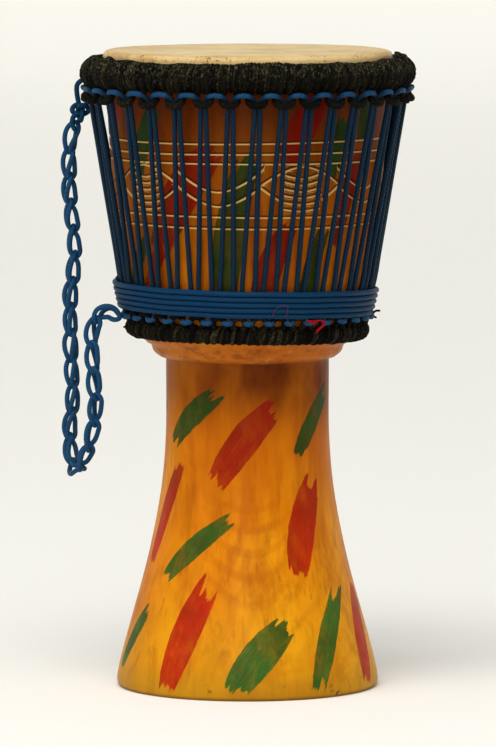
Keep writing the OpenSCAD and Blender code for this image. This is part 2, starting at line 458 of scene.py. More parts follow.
def steel_look():
    s = Shader("hoop_steel", Metallic=0.8)
    scale = s.noise(s.place(), 60, 4)
    rust = s.step(s.noise(s.place(), 18, 5, 0.7), 0.52, 0.7)
    colour = s.stains(s.ramp(scale, (0.3, "2A2A2B"), (0.7, "454547")), ("34190C", rust, 0.6))
    return s.done(colour, s.scale_add(rust, 0.35, 0.38), s.bump(scale, 0.3, 0.0004))


# ---------- the strap, a free cord

LINK = 0.0205
STRAP_ROUTE = MM * np.array([
    (-101, -24, 294), (-108, -24, 297), (-115, -23, 295), (-120, -22, 287), (-122, -21, 275),
    (-121, -20, 255), (-119, -19, 235), (-120, -18, 215), (-123, -17, 198), (-127, -14, 184),
    (-131, -8, 174), (-135, 1, 170), (-138, 10, 173), (-140, 17, 183), (-141, 20, 200), (-138, 21, 225),
    (-139, 21, 260), (-140, 20, 300), (-137, 18, 340), (-140, 16, 380), (-140, 14, 415), (-138, 13, 432),
    (-134, 12, 444),
])

# One link of the chain, as (along, across, forward) in millimetres: up one side of the loop, round
# its tip, down the other side, back through the link before and up behind to the next one.
LINK_SIDE = [(0.0, 1.9, 0.8), (3.5, 2.5, 2.5), (8.5, 3.9, 2.9), (14.5, 4.6, 1.9), (19.5, 3.6, -0.2)]
CHAIN_LINK = [(a, -w, h) for a, w, h in LINK_SIDE] + [(22.8, 0.0, -1.6)] + LINK_SIDE[::-1] + [
    (-2.0, 0.8, -2.2), (1.5, -0.6, -5.0), (7.5, -1.4, -4.8), (14.0, -1.7, -3.8), (18.2, -1.9, -1.5),
]


def along_route(route, s):
    """Points and frames at distances s along a sampled route, carried on straight past its ends."""
    total = travelled(route)
    t, u, v = frames(route, False)
    pick = lambda a: np.stack([np.interp(s, total, a[:, k]) for k in range(3)], 1)
    p, t = pick(route), unit(pick(t))
    beyond = np.where(s < 0, s, np.where(s > total[-1], s - total[-1], 0))
    return p + t * beyond[:, None], t, unit(pick(u)), unit(pick(v))


def chain_points(route):
    """The crocheted rope's own centreline along the strap."""
    total = travelled(route)[-1]
    links = int((total - 0.004) / LINK)
    pitch = (total - 0.004) / links
    pts = []
    for k in range(links):
        wide = 1 + 0.12 * RNG.standard_normal()
        lean = 0.5 * RNG.standard_normal()
        for a, w, h in CHAIN_LINK:
            pts.append((k * pitch + MM * a * pitch / LINK, MM * (w * wide + lean), MM * h))
    pts = spline(np.vstack([[-0.008, -0.001, 0.001], pts]), 0.0012)
    pts = pts[pts[:, 0] < total + 0.001]
    p, t, u, v = along_route(route, pts[:, 0])
    turn = (0.45 * np.sin(pts[:, 0] * 31) + 0.4 * np.sin(pts[:, 0] * 13 + 1) + 0.9)[:, None]
    side = np.cos(turn) * u + np.sin(turn) * v
    front = np.cross(t, side)
    return p + side * pts[:, 1:2] + front * pts[:, 2:3]


def make_strap():
    """The spare rope, crocheted into a chain that hangs from the waist up to the crown."""
    route = spline(STRAP_ROUTE, 0.002)
    soup = Soup()
    rope(soup, chain_points(route), 0.00195, 10, strand=0.72)
    return soup.build("strap_chain_rope", "blue_rope", "strap_chain"), route


def make_strap_hitch():
    """The bight that holds the strap to a crown loop."""
    side, knot = unit(np.array([-0.9, 0.42, 0.0])), np.array((KNOT_LO + KNOT_HI) / 2)
    top = np.array((BIGHT_LO + BIGHT_HI) / 2) + MM * UP
    spots = [(knot, 1.0, 4.0), (top, 6.2, -3.0), (top, 5.8, 4.0), (top, 0.0, 7.8), (top, -5.8, 4.0),
             (top, -6.2, -4.0), (knot, -3.0, 3.0)]
    soup = Soup()
    rope(soup, spline([start + MM * (side * a + UP * b) for start, a, b in spots], 0.001), ROPE_R)
    return soup.build("strap_bight_rope", "blue_rope", "strap_bight")


def make_strap_knot():
    """An overhand knot, pulled tight, with the rope's cut end beside it."""
    axes = MM * np.array([unit(np.array([0.9, -0.42, 0.0])), unit(np.array([-0.42, -0.9, 0.0])), UP])
    centre = np.array((KNOT_LO + KNOT_HI) / 2)
    t = np.linspace(0, TAU, 150, endpoint=False)
    knot = np.stack([2.2 * (np.sin(t) + 2 * np.sin(2 * t)), -3.2 * np.sin(3 * t),
                     2.4 * (np.cos(t) - 2 * np.cos(2 * t))], 1)
    tail = np.array([(1, 2, -1), (-3, 6, -4), (-3.5, 7, -10), (-1, 6.5, -15)])
    soup = Soup()
    rope(soup, centre + knot @ axes, ROPE_R * 1.02, closed=True)
    rope(soup, spline(centre + tail @ axes, 0.001), ROPE_R)
    return soup.build("strap_knot_rope", "blue_rope", "strap_knot")


# ---------- lacing

CROWN_RUN_R, CROWN_RUN_Z = CROWN_HI.x - 0.0031, CROWN_LO.z - 0.0010


def crown_bend(k, side):
    """The rope's bend from the run along the crown down through crown loop k."""
    spots = MM * np.array([(10.2, 0.8, 0.2), (7.0, 0.2, -0.3), (4.4, -1.2, -1.6),
                           (2.6, -3.2, -4.4), (2.1, -4.8, -8.8), (2.1, -5.6, -14.5)])
    return [beside(crown_deg(k), side * s, CROWN_RUN_R + out, CROWN_RUN_Z + up) for s, out, up in spots]


def waist_bend(k, side):
    """The rope's bend from a down run through waist loop k, and out in front of the loops."""
    a = waist_deg(k)
    made = []
    for s, up, out in MM * np.array([(3.3, 27.8, 1.4), (3.5, 7.8, 0.2), (4.3, 4.0, 0.4),
                                     (4.8, 1.8, 2.4), (6.0, 0.4, 5.2), (7.6, 0.0, 6.2)]):
        sway = 0.3 * waist_sway(a) if up < 0.005 else 0
        made.append(beside(a, side * s, shell_r(RUN_Z + up) + ROPE_R + out, RUN_Z + up + sway))
    return made


def straight(a, b):
    """Five points between a and b, so that a taut run stays straight."""
    return [a + (b - a) * i / 6 for i in range(1, 6)]


def lacing_points():
    pts = []
    for k in range(LOOPS):
        up = crown_bend(k, -1)
        low = waist_bend(k - 1, 1)
        pts += up + straight(up[-1], low[0]) + low
        low = waist_bend(k, -1)[::-1]
        up = crown_bend(k, 1)[::-1]
        pts += low + straight(low[-1], up[0]) + up
    return np.array(pts)


def make_lacing():
    """One rope that runs down and up between the crown loops and the waist loops, all the way round."""
    p = spline(lacing_points(), 0.0022, closed=True)
    s = np.arange(len(p))
    radius = ROPE_R * (1 + 0.03 * np.sin(s * 0.031) + 0.02 * np.sin(s * 0.117))
    # Painted highlight on the runs along the crown and the waist, painted shade on the rest of the lacing
    runs = (p[:, 2] > CROWN_RUN_Z - 0.0004) | (p[:, 2] < RUN_Z + 0.0030)
    soup = Soup()
    rope(soup, p, radius, closed=True, strand=np.where(runs, 0.7, 0.0))
    return soup.build("lacing", "blue_rope", "lacing_rope")


def make_waist_wrap():
    """Five turns of the same rope round the waist, over the lacing."""
    turns, pitch, start = 4.9, 0.0043, -97.0
    f = np.linspace(0, turns, 1500)
    wave = 0.0002 * np.sin(f * TAU * 3 + 1) + 0.00012 * np.sin(f * TAU * 11)
    a = np.radians(start + 360 * f)
    z = WRAP_HI.z + 0.0014 - ROPE_R - pitch * f + wave + 0.0016 * np.cos(a) - 0.0018 * np.sin(a)
    left = np.maximum(0, np.cos(a + pi / 2)) ** 6
    r = shell_r(z) + 3 * ROPE_R + 0.0006 + 0.0018 * left + 0.00015 * np.sin(f * TAU * 17 + 2)
    p = turned(r, a, z)
    tail = [ring_point(start - back, r[0] - MM * sunk, z[0] + MM * up)
            for back, sunk, up in ((8, 5.8, 8.0), (5, 3.0, 4.8), (2.5, 0.8, 1.6))]
    soup = Soup()
    rope(soup, np.vstack([spline(np.vstack([tail, p[:2]]), 0.0015)[:-2], p]), ROPE_R * 1.06)
    return soup.build("waist_turns", "blue_rope", "waist_wrap")


# ---------- black cord


def lump(deg):
    """How much the crown binding swells at deg."""
    a = np.radians(deg)
    return 0.0006 * np.sin(5 * a + 1) + 0.0004 * np.sin(13 * a) + 0.0003 * np.sin(29 * a + 2)


def make_crown_binding():
    """Hundreds of turns of thin black cord round the crown hoop and the skin's fold."""
    soup = Soup()
    count = 330
    low, top, out_r = CROWN_LO.z, CROWN_HI.z, CROWN_HI.x
    inner = RIM_R + 0.0023
    outline = [(r + MM * out, z + MM * up, 0) for r, out, z, up in (
        (inner, 1.2, top, -4.0), (inner, 4.0, top, -0.9), (inner, 8.8, top, -0.8), (out_r, -5.0, top, -3.0),
        (out_r, -1.9, top, -7.0), (out_r, -1.4, top, -11.2), (out_r, -2.0, top, -15.0),
        (out_r, -4.0, low, 4.2), (out_r, -7.6, low, 1.6), (inner, 5.0, low, 1.6), (inner, 2.0, low, 4.0))]
    line = spline(outline, 0.0021)[:, :2]
    mid = np.array([(inner + out_r) / 2, (low + top) / 2])
    for i in range(count):
        deg = 360 * i / count + RNG.normal(0, 0.12)
        slant = 1.6 + 0.5 * sin(i * 0.13) + RNG.normal(0, 0.5)
        swell = 1 + lump(deg) / 0.010 + RNG.normal(0, 0.014)
        pts = []
        for j, (r, z) in enumerate(line):
            f = j / (len(line) - 1)
            rz = mid + (np.array([r, z]) - mid) * swell
            turn = deg - slant * (f - 0.4) + 0.10 * sin(f * 9 + i)
            pts.append(ring_point(turn, min(rz[0], out_r + 0.001), min(rz[1], top + 0.0012)))
        rope(soup, pts, 0.0013 * (1 + RNG.normal(0, 0.06)), 6, strand=RNG.random())
    for z, r, phase in ((top - 0.0098, out_r - 0.0012, 0.0), (top - 0.0126, out_r - 0.0018, 1.2)):
        add_twisted_ring(soup, r, z, phase)
    for deg, z, size in ((-60, top, 0.0052), (-77, top - 0.002, 0.0052), (76, top + 0.0005, 0.0062),
                         (84, top - 0.001, 0.0055), (95, top - 0.005, 0.005), (-88, top - 0.006, 0.005)):
        add_tangle(soup, ring_point(deg, 0.1225, z - 0.0012), size)
    return soup.build("crown_cord", "black_cord", "crown_binding")


def add_twisted_ring(soup, r, z, phase):
    """Two thin cords twisted round each other along the crown."""
    n = 1300
    a = np.arange(n) / n * TAU
    for half in (0, pi):
        w = a * 76 + phase + half
        rr = r + 0.0008 * np.cos(w) + 0.5 * lump(np.degrees(a))
        zz = z + 0.0009 * np.sin(w) + 0.0005 * np.sin(a * 9 + phase)
        rope(soup, turned(rr, a, zz), 0.0009, 6, closed=True, strand=0.35 + 0.3 * (half > 0))


def add_tangle(soup, centre, size):
    """A knot of black cord: a few small turns at random tilts."""
    out = unit(centre * [1, 1, 0])
    for _ in range(5):
        axis = unit(RNG.normal(size=3) + out * 0.6)
        u = unit(np.cross(axis, [0.3, 0.2, 1.0]))
        v = np.cross(axis, u)
        a = np.linspace(0, TAU, 26, endpoint=False)
        rad = size * RNG.uniform(0.45, 0.68)
        wob = 1 + 0.15 * np.sin(2 * a + RNG.uniform(0, 6))
        mid = centre + RNG.normal(0, size * 0.16, 3)
        p = mid + rad * (wob * np.cos(a))[:, None] * u + rad * (wob * np.sin(a))[:, None] * v
        rope(soup, p + axis * (0.2 * rad * np.sin(2 * a))[:, None], 0.0014, 8, closed=True,
             lobes=3, depth=0.1, lay=0.006, strand=RNG.random())


def make_crown_loops():
    """The loops that hang under the crown, each a bight of thicker cord with both legs over the hoop."""
    leg = MM * np.array([(3.4, -4.0, 13.0), (3.6, -1.4, 10.8), (3.7, -2.2, 6.2), (4.2, -5.2, 2.2),
                         (6.0, -7.4, -1.8), (6.8, -6.2, -4.8), (4.8, -3.6, -8.2), (0.0, -2.6, -9.2)])
    bight = np.vstack([leg * [-1, 1, 1], leg[-2::-1]])
    soup = Soup()
    low = CROWN_LO.z
    for k in range(LOOPS):
        a = crown_deg(k) + RNG.normal(0, 0.25)
        w = 1 + RNG.normal(0, 0.05)
        drop = RNG.normal(0, 0.0005)
        line = spline([beside(a, s * w, CROWN_HI.x + out, low + up + drop) for s, out, up in bight], 0.0011)
        thick = np.where(line[:, 2] < low - 0.0045, 0.0026, 0.0021)
        rope(soup, line, thick, lobes=3, depth=0.11, lay=0.009, strand=RNG.uniform(0.2, 0.8))
    return soup.build("crown_loop_cords", "black_cord", "crown_loops")


def waist_sway(deg):
    """How far the hand-wound waist turns rise at deg: a little higher in front and on the left."""
    return 0.0022 * cos(radians(deg)) - 0.0022 * sin(radians(deg))


def make_waist_binding():
    """Thicker black cord wound over the waist hoop, so that the ring looks ribbed."""
    soup = Soup()
    ribs, strands = 84, 3
    mid_r, mid_z = WAIST_HI.x - 0.0066, (WAIST_LO.z + WAIST_HI.z) / 2
    for i in range(ribs * strands):
        rib, n = divmod(i, strands)
        deg = 360 / ribs * (rib + (0.5 + n) / strands * 0.93) + RNG.normal(0, 0.12)
        size = 0.0056 * (1 + RNG.normal(0, 0.03)) + (0.0004 if n == 1 else -0.0001)
        a = np.linspace(radians(-140), radians(185), 24)
        slant = 2.6 + RNG.normal(0, 0.5)
        rise = 0.0003 + 0.6 * waist_sway(deg)
        pts = [ring_point(deg + slant * x / 3, mid_r + size * cos(x),
                          mid_z + rise + size * 1.02 * sin(x)) for x in a]
        rope(soup, pts, 0.00150 * (1 + RNG.normal(0, 0.08)), 8, lobes=2, depth=0.1, lay=0.006,
             strand=RNG.random())
    add_stray_ends(soup)
    return soup.build("waist_cord", "black_cord", "waist_binding")


def add_stray_ends(soup):
    """A few loose ends of the black cord at the waist."""
    for deg, up, out, *tip in ((84, 2, 3.7, 6, -2, 2), (88, -2, 2.2, 4, -3, 0),
                               (-84, -10, -0.2, -3, -2, 1), (150, -1, 2.7, 4, 6, 3)):
        p = ring_point(deg, WAIST_HI.x + MM * out, RUN_Z + MM * up)
        t = MM * np.array(tip)
        pts = [p - unit(p * [1, 1, 0]) * 0.003, p, p + t * 0.4 + MM * UP, p + t]
        rope(soup, spline(pts, 0.0009), 0.0009, 7, strand=0.6)


def make_waist_loops():
    """Small rings of black cord that stand up from the waist ring and hold the lacing."""
    soup = Soup()
    for k in range(LOOPS):
        a = waist_deg(k) + RNG.normal(0, 0.3)
        size = 0.0050 * (1 + RNG.normal(0, 0.04))
        pts = []
        for x in np.radians(np.linspace(-158, 158, 34)):
            s, up = size * 1.06 * sin(x), size * cos(x)
            rise = up - 0.0004 + 0.3 * waist_sway(a)
            pts.append(beside(a, s, WAIST_HI.x - 0.0007 + 0.40 * up, RUN_Z + rise))
        rope(soup, pts, 0.0022, 10, lobes=3, depth=0.1, lay=0.007, strand=RNG.uniform(0.2, 0.8))
    return soup.build("waist_loop_cords", "black_cord", "waist_loops")


def add_thread(soup, spots, r, radius, **twist):
    """A thread through spots of (degrees, out from r, up from the lacing's lowest runs), in mm."""
    pts = [ring_point(deg, r + MM * out, RUN_Z + MM * up) for deg, out, up in spots]
    rope(soup, spline(pts, 0.0008), radius, **twist)


def make_threads():
    """The bit of red thread caught in the waist ring and the thin dark one on the wrap."""
    red, dark = Soup(), Soup()
    for drop, swing in ((0.0, 0.0), (1.6, 0.8)):
        spots = ((27 + swing, 4.3, 3.0), (30, 5.5, 2.2 - drop), (34, 5.9, 2.6), (36.5, 5.7, 0.7 - drop),
                 (34.5 + swing, 4.9, -2.8), (32.5, 3.6, -5.6 - drop))
        add_thread(red, spots, WAIST_HI.x, 0.00055, sides=7, lobes=2, depth=0.15, lay=0.003)
    red.build("red_thread", "black_cord", look=thread_look("red_thread", "A6061A"))
    spots = ((11, -0.6, 6.5), (12, 0, 11.5), (15, 0, 15.5), (17.6, 0, 14.0), (17.4, 0, 9.0),
             (16.8, -0.8, 5.5))
    add_thread(dark, spots, shell_r(RUN_Z + 0.013) + 4 * ROPE_R + 0.0008, 0.00035, sides=6)
    dark.build("dark_thread", "black_cord", look=thread_look("dark_thread", "5E2A55"))


# ---------- skin


def revolve(outline, count, wobble=None):
    """A closed outline of (r, z) points turned about the drum's axis; r of 0 is a pole."""
    verts, rings, faces = [], [], []
    for r, z in outline:
        if r < 1e-6:
            rings.append([len(verts)])
            verts.append((0, 0, z))
            continue
        rings.append(list(range(len(verts), len(verts) + count)))
        for i in range(count):
            a = TAU * i / count
            rr, zz = (r, z) if wobble is None else wobble(a, r, z)
            verts.append(turned(rr, a, zz))
    for a, b in zip(rings, rings[1:]):
        for i in range(count):
            j = (i + 1) % count
            quad = [a[i % len(a)], a[j % len(a)], b[j % len(b)], b[i % len(b)]]
            faces.append([x for n, x in enumerate(quad) if x not in quad[:n]])
    return np.array(verts), faces


def skin_wobble(a, r, z):
    """Faint waves of the face and small puckers where the collar is pulled down."""
    if r < 0.109:
        return r, z + 0.00025 * (r / 0.109) ** 2 * sin(3 * a + 1)
    pucker = 0.00025 * sin(34 * a + 2 * sin(3 * a)) + 0.0002 * sin(61 * a)
    return r + pucker, z


def make_skin():
    """The goat skin: its face, the rounded rim and the collar with the fold that holds the hoop."""
    low, face, edge, out_r = SKIN_LO.z, TOP - 0.0004, RIM_R + 0.0014, SKIN_HI.x
    over = [(0, face)] + [(edge * f, face) for f in np.linspace(0.04, 0.92, 22)]
    over += [(edge - 0.0042 * (1 - sin(x)), face - 0.0042 * (1 - cos(x))) for x in np.linspace(0, pi / 2, 8)]
    over += [(edge, z) for z in np.linspace(face - 0.006, low + 0.002, 7)]
    over += [(edge + 0.0005, low + 0.0004), (edge + 0.003, low), (out_r - 0.0016, low),
             (out_r, low + 0.0018), (out_r, low + 0.012)]
    under = [(out_r - 0.0011, low + 0.012), (out_r - 0.0012, low + 0.0022), (out_r - 0.0024, low + 0.0012),
             (edge - 0.0004, low + 0.0012), (edge - 0.0011, low + 0.003), (edge - 0.0011, face - 0.006),
             (edge - 0.0035, face - 0.0011), (edge * 0.9, face - 0.0011), (0, face - 0.0011)]
    verts, faces = revolve(over + under, 288, skin_wobble)
    soup = Soup()
    uvs = [(verts[i][0], verts[i][1]) for f in faces for i in f]
    soup.add(verts, faces, uvs, 0.5)
    return soup.build("goat_skin", "goat_skin", "drum_skin")


def skin_look():
    """Goat skin: mottled, with faint veins, stained and speckled towards the rim."""
    s = Shader("goat_skin", Sheen_Weight=0.1)
    at = s.place()
    x, y, z = s.split(at)
    far = s.length(x, y)
    mottle = s.noise(at, 16, 5, 0.6)
    veins = s.noise(s.place((1, 0.35, 1)), 70, 6, 0.65, 0.6)
    colour = s.ramp(mottle, (0.3, "BE9A58"), (0.5, "DABE82"), (0.72, "E6D2A2"))
    blots = s.step(s.noise(s.place((1, 1, 2)), 24, 5, 0.7, 0.8), 0.50, 0.66)
    specks = s.step(s.noise(at, 420, 2), 0.58, 0.66)
    patch = s.step(s.noise(at, 30, 3), 0.42, 0.58)
    low = s.step(z, TOP - 0.004, TOP - 0.012, 0.0, 0.55)
    colour = s.stains(
        colour,
        ("B98F55", s.step(veins, 0.5, 0.68), 0.35),
        ("C8A25C", s.step(far, 0.098, 0.1125), 0.4),
        ("A4703C", blots, s.step(far, 0.100, 0.113), 0.55),
        ("5A3618", specks, patch, s.step(far, 0.085, 0.112, 0.12, 1.0), 0.8),
        ("8E6432", low, s.step(mottle, 0.35, 0.6)))
    grain = s.scale_add(s.noise(at, 900, 3), 0.4, veins)
    return s.done(colour, s.scale_add(mottle, 0.3, 0.42), s.bump(grain, 0.35, 0.0006))


# ---------- shell

# Brushed strokes: colour, low and high end as (degrees round, hundredths of the height), width in mm
STROKES = [
    ("green", (-64, 38.5), (-17, 47.5), 15), ("red", (-23, 32.5), (22, 45.5), 20),
    ("green", (37, 37), (75, 48), 13), ("red", (-72, 19.5), (-52, 36), 13),
    ("red", (30, 18.5), (51, 34), 21), ("green", (-54, 17.5), (-8, 28), 13),
    ("red", (-38, 1), (-19, 19), 21), ("green", (-78, 3), (-60, 13.5), 12),
    ("green", (-7, 1), (22, 12), 22), ("green", (32, 1), (60, 17.5), 15),
    ("red", (67, 1), (80, 16.5), 18), ("red", (-80, 83), (-63, 93), 12),
    ("green", (-54, 79.5), (-38, 93.5), 14), ("red", (-43, 69), (-13, 86), 25),
    ("green", (-10, 61), (2, 85.5), 20), ("red", (16, 82.5), (32, 94), 20),
    ("red", (5, 60), (19, 74), 17), ("green", (38, 80.5), (44, 91), 12),
    ("green", (28, 60), (36, 73.5), 12), ("red", (42, 70), (54, 85), 14),
    ("green", (73, 65), (84, 77.5), 11), ("green", (-72, 60), (-48, 72), 10),
    ("red", (-57, 60), (-37, 71.5), 10), ("green", (53, 86), (60, 94), 11),
]
STROKE_BOW = 0.05
BAND_POINTS = 640
BOWL_PAINT_Z = LEDGE_Z + 0.003
PAST_END = 30.0
FAR_OUT = 40.0

# Heights of the five cut lines above and below the carved band's middle, in mm
LINES = (33, 24.5, 17, -24, -32.5)


def back_strokes():
    """The strokes on the far side, which go on in the same way."""
    pick = np.random.default_rng(31)
    made = []
    for row, (low, high) in enumerate(((1.5, 15.5), (17.5, 32), (33.5, 47.5), (60.5, 74.5), (78.5, 92.5))):
        count = 5 if low < 50 else 6
        for n in range(count):
            deg = 97 + 180 / count * n + pick.uniform(-6, 6) + 9 * (row % 2)
            rise = pick.uniform(0.75, 1.0) * (high - low)
            lift = pick.uniform(0, high - low - rise)
            lean = pick.uniform(14, 34)
            colour = "red" if (n + row) % 2 else "green"
            ends = (deg, low + lift), (deg + lean, low + lift + rise)
            made.append((colour, *ends, pick.uniform(13, 22)))
    return made


def stroke_line(low, high, bow):
    """Nine points from a stroke's low end to its high end, as (radians, millimetres), and its radius
    in millimetres at each. The line is a parabola that bows out at its middle."""
    ends = np.array([low, high]) * [1, 10 * TOP]
    mid = ends.mean(0)
    per_degree = radians(1) * 1000 * shell_r(mid[1] / 1000)
    run, rise = (ends[1] - ends[0]) * [per_degree, 1]
    middle = mid + [-bow * rise / per_degree, bow * run]
    f = np.linspace(0, 1, 9)[:, None]
    line = (1 - f) * (1 - 2 * f) * ends[0] + 4 * f * (1 - f) * middle + f * (2 * f - 1) * ends[1]
    return line * [radians(1), 1], 1000 * shell_r(line[:, 1] / 1000)


def paint_fields(a, r, z):
    """For each point, the nearest stroke's place along (0 to 1), place across (-1 to 1), how far
    the point is outside it in millimetres, whether it is red, and a number of its own."""
    best = np.full(len(a), FAR_OUT)
    fields = np.zeros((4, len(a)))
    for i, (colour, low, high, width) in enumerate(STROKES + back_strokes()):
        line, radius = stroke_line(low, high, STROKE_BOW)
        middle = line[4, 0]
        spot = np.stack([((a - middle + pi) % TAU - pi) * r, z], 1) * 1000
        line[:, 0] = (line[:, 0] - middle) * radius
        steps = np.diff(line, axis=0)
        gaps = np.hypot(*steps.T)
        near, pos, side = np.full(len(a), 1e3), np.zeros(len(a)), np.zeros(len(a))
        for k, gap in enumerate(gaps):
            ahead = steps[k] / gap
            off = spot - line[k]
            t = np.clip(off @ ahead, 0 if k else -PAST_END, gap + (PAST_END if k == 7 else 0))
            off = off - t[:, None] * ahead
            far = np.hypot(*off.T)
            closer = far < near
            near = np.where(closer, far, near)
            pos = np.where(closer, (gaps[:k].sum() + t) / gaps.sum(), pos)
            side = np.where(closer, off @ [-ahead[1], ahead[0]], side)
        half = 0.60 * width * (0.46 + 0.54 * np.sin(np.clip(0.04 + 0.92 * pos, 0, 1) * pi) ** 0.75)
        out = np.maximum(near - half, np.maximum(-pos, pos - 1) * gaps.sum())
        closer = (out < best) & ((z < BOWL_PAINT_Z) == (line[4, 1] < 1000 * BOWL_PAINT_Z))
        best = np.where(closer, out, best)
        own = np.array([[colour == "red"], [i * 0.37 % 1.0]]) * np.ones(len(a))
        fields = np.where(closer, [pos, 2 * side / width, *own], fields)
    along, across, red, seed = fields
    return along, across, best, red, seed


def arc_gap(x, z, half, z0, z1, power):
    """Millimetres above or below a curve that goes from z0 at its middle to z1 at its ends."""
    f = abs(x) / half
    slope = power * (z1 - z0) / half * np.minimum(f, 1) ** (power - 1)
    near = (z - (z0 + (z1 - z0) * f**power)) / np.sqrt(1 + slope**2)
    return np.where(f <= 1, near, 99.0)


def carved(a, z):
    """How far each point is above the nearest cut of the carved band, in millimetres."""
    up = (z - BAND_Z) * 1000
    x, y = ((np.degrees(a) - middle + 36) % 72 - 36 for middle in (23.5, 59.5))
    arcs = [(x, 18.2, 15, 0.5, 1.7), (y, 19.5, -4.4, 14.5, 1.75), (y, 17.8, -15.6, -0.5, 1.7)]
    arcs += [(x, 9.8 - 0.2 * n, 5.6 - 5.0 * n, 10.2 - 5.55 * n, 1.5) for n in range(6)]
    gaps = [up - line - 0.5 * np.sin(2 * a + n) for n, line in enumerate(LINES)]
    gaps += [arc_gap(across, up, *sizes) for across, *sizes in arcs]
    gaps.append(np.where(abs(x) > 9.6, arc_gap(x, up, 18.2, -17, 0, 1.6), 99.0))
    gaps = np.array(gaps)
    return gaps[abs(gaps).argmin(0), np.arange(len(a))]


def shell_rings():
    """The shell as rings, up its outside and down its inside: (radius, height, points, outside or not)."""
    out = [(FOOT_R - 0.003, 0.0), (FOOT_R - 0.0016, 0.0004), (FOOT_R - 0.0008, 0.0016)]
    out += [(shell_r(z), z) for z in np.linspace(FOOT_Z, LEDGE_Z - 0.0012, 56)]
    out += [(NECK_R + 0.0008, LEDGE_Z + 0.0001), (NECK_R + 0.005, LEDGE_Z + 0.001)]
    out += [(LEDGE_R - back, LEDGE_Z + up) for back, up in (
        (0.0048, 0.0026), (0.003, 0.004), (0.0016, 0.006), (0.001, 0.008))]
    low, high = BAND_Z - 0.0395, BAND_Z + 0.0385
    bowl = [*(BOWL_Z + (low - 0.0025 - BOWL_Z) * np.linspace(0, 1, 24) ** 1.4),
            *np.linspace(low, high, 81), *np.linspace(high + 0.004, RIM_Z - 0.002, 13)]
    out += [(shell_r(z), z) for z in bowl]
    out += [(RIM_R - 0.0004, RIM_Z - 0.0008), (RIM_R - 0.0015, RIM_Z)]
    rim_in, foot_in = RIM_R - RIM_WALL, FOOT_R - FOOT_WALL
    down = [(rim_in + 0.0015, RIM_Z), (rim_in, RIM_Z - 0.0015)]
    heights = BOWL_Z + (RIM_Z - BOWL_Z) * np.linspace(1, 0, 22)[1:] ** 1.6
    down += [(bowl_r(z, BOWL_Z, THROAT_R, rim_in, 2), z) for z in heights]
    flare = THROAT["pos_m"][2] - THROAT["dims"]["length_mm"] / 2000
    down += [(THROAT_R, z) for z in np.linspace(BOWL_Z - 0.020, flare, 3)]
    down += [(stem_r(z, 0, flare, foot_in, THROAT_R), z) for z in np.linspace(flare - 0.005, 0.001, 30)]
    down.append((foot_in + 0.0005, 0.0))
    rings = [(r, z, BAND_POINTS if low <= z <= high else BAND_POINTS // 2, 1) for r, z in out]
    return rings + [(r, z, BAND_POINTS // 4, 0) for r, z in down]


def join_rings(a, b):
    """Faces between two rings of vertex numbers, one of which may have twice the points."""
    count = min(len(a), len(b))
    p, q = len(a) // count, len(b) // count
    return [[a[(i * p + k) % len(a)] for k in range(p + 1)]
            + [b[(i * q + k) % len(b)] for k in range(q, -1, -1)] for i in range(count)]


def make_shell():
    """The goblet, carved from one log: the band's cuts are real, and the paint rides in attributes."""
    rings = shell_rings()
    rows = [(r, z, TAU * i / count, outside) for r, z, count, outside in rings for i in range(count)]
    r, z, a, outer = np.array(rows, float).T
    outer = outer > 0
    starts = np.cumsum([0] + [count for _, _, count, _ in rings])
    index = [list(range(i, j)) for i, j in zip(starts, starts[1:])]
    faces = [f for one, two in zip(index, index[1:] + index[:1]) for f in join_rings(one, two)]
    gap = np.where(outer & (abs(z - BAND_Z) < 0.0445), carved(a, z), 99.0)
    cut = 0.0010 * np.clip(1 - abs(gap) / 1.25, 0, 1)
    tool = 0.00012 * np.sin(9 * a + 40 * z) * np.sin(60 * z + 3 * a) + 0.0002 * np.sin(2 * a + 9 * z)
    rr = r - cut - np.where(outer, 0.00032 + tool, 0.0003 * np.sin(14 * a) * np.sin(90 * z))
    along, across, out, red, seed = paint_fields(a, r, z)
    out = np.where(outer, out, FAR_OUT)
    corner = np.array([i for f in faces for i in f])
    first = np.array([f[0] for f in faces for _ in f])
    turn = (a[corner] - a[first] + pi) % TAU - pi
    uvs = np.stack([(a[first] + turn) / TAU, np.where(outer, z / TOP, 1 + TOP - z)[corner]], 1)
    soup = Soup()
    soup.add(turned(rr, a, z), faces, uvs, 0.5)
    shell = soup.build("carved_shell", "carved_wood", "shell")
    fields = {"brush": (along, across, out), "tint": (red, seed, outer * 1.0),
              "carving": (np.clip(gap / 2.4, -1, 1), abs(gap) < 2.4, z * 0)}
    for name, values in fields.items():
        layer = shell.data.attributes.new(name, "FLOAT_VECTOR", "POINT")
        layer.data.foreach_set("vector", np.stack(values, 1).astype(np.float32).ravel())
    return shell


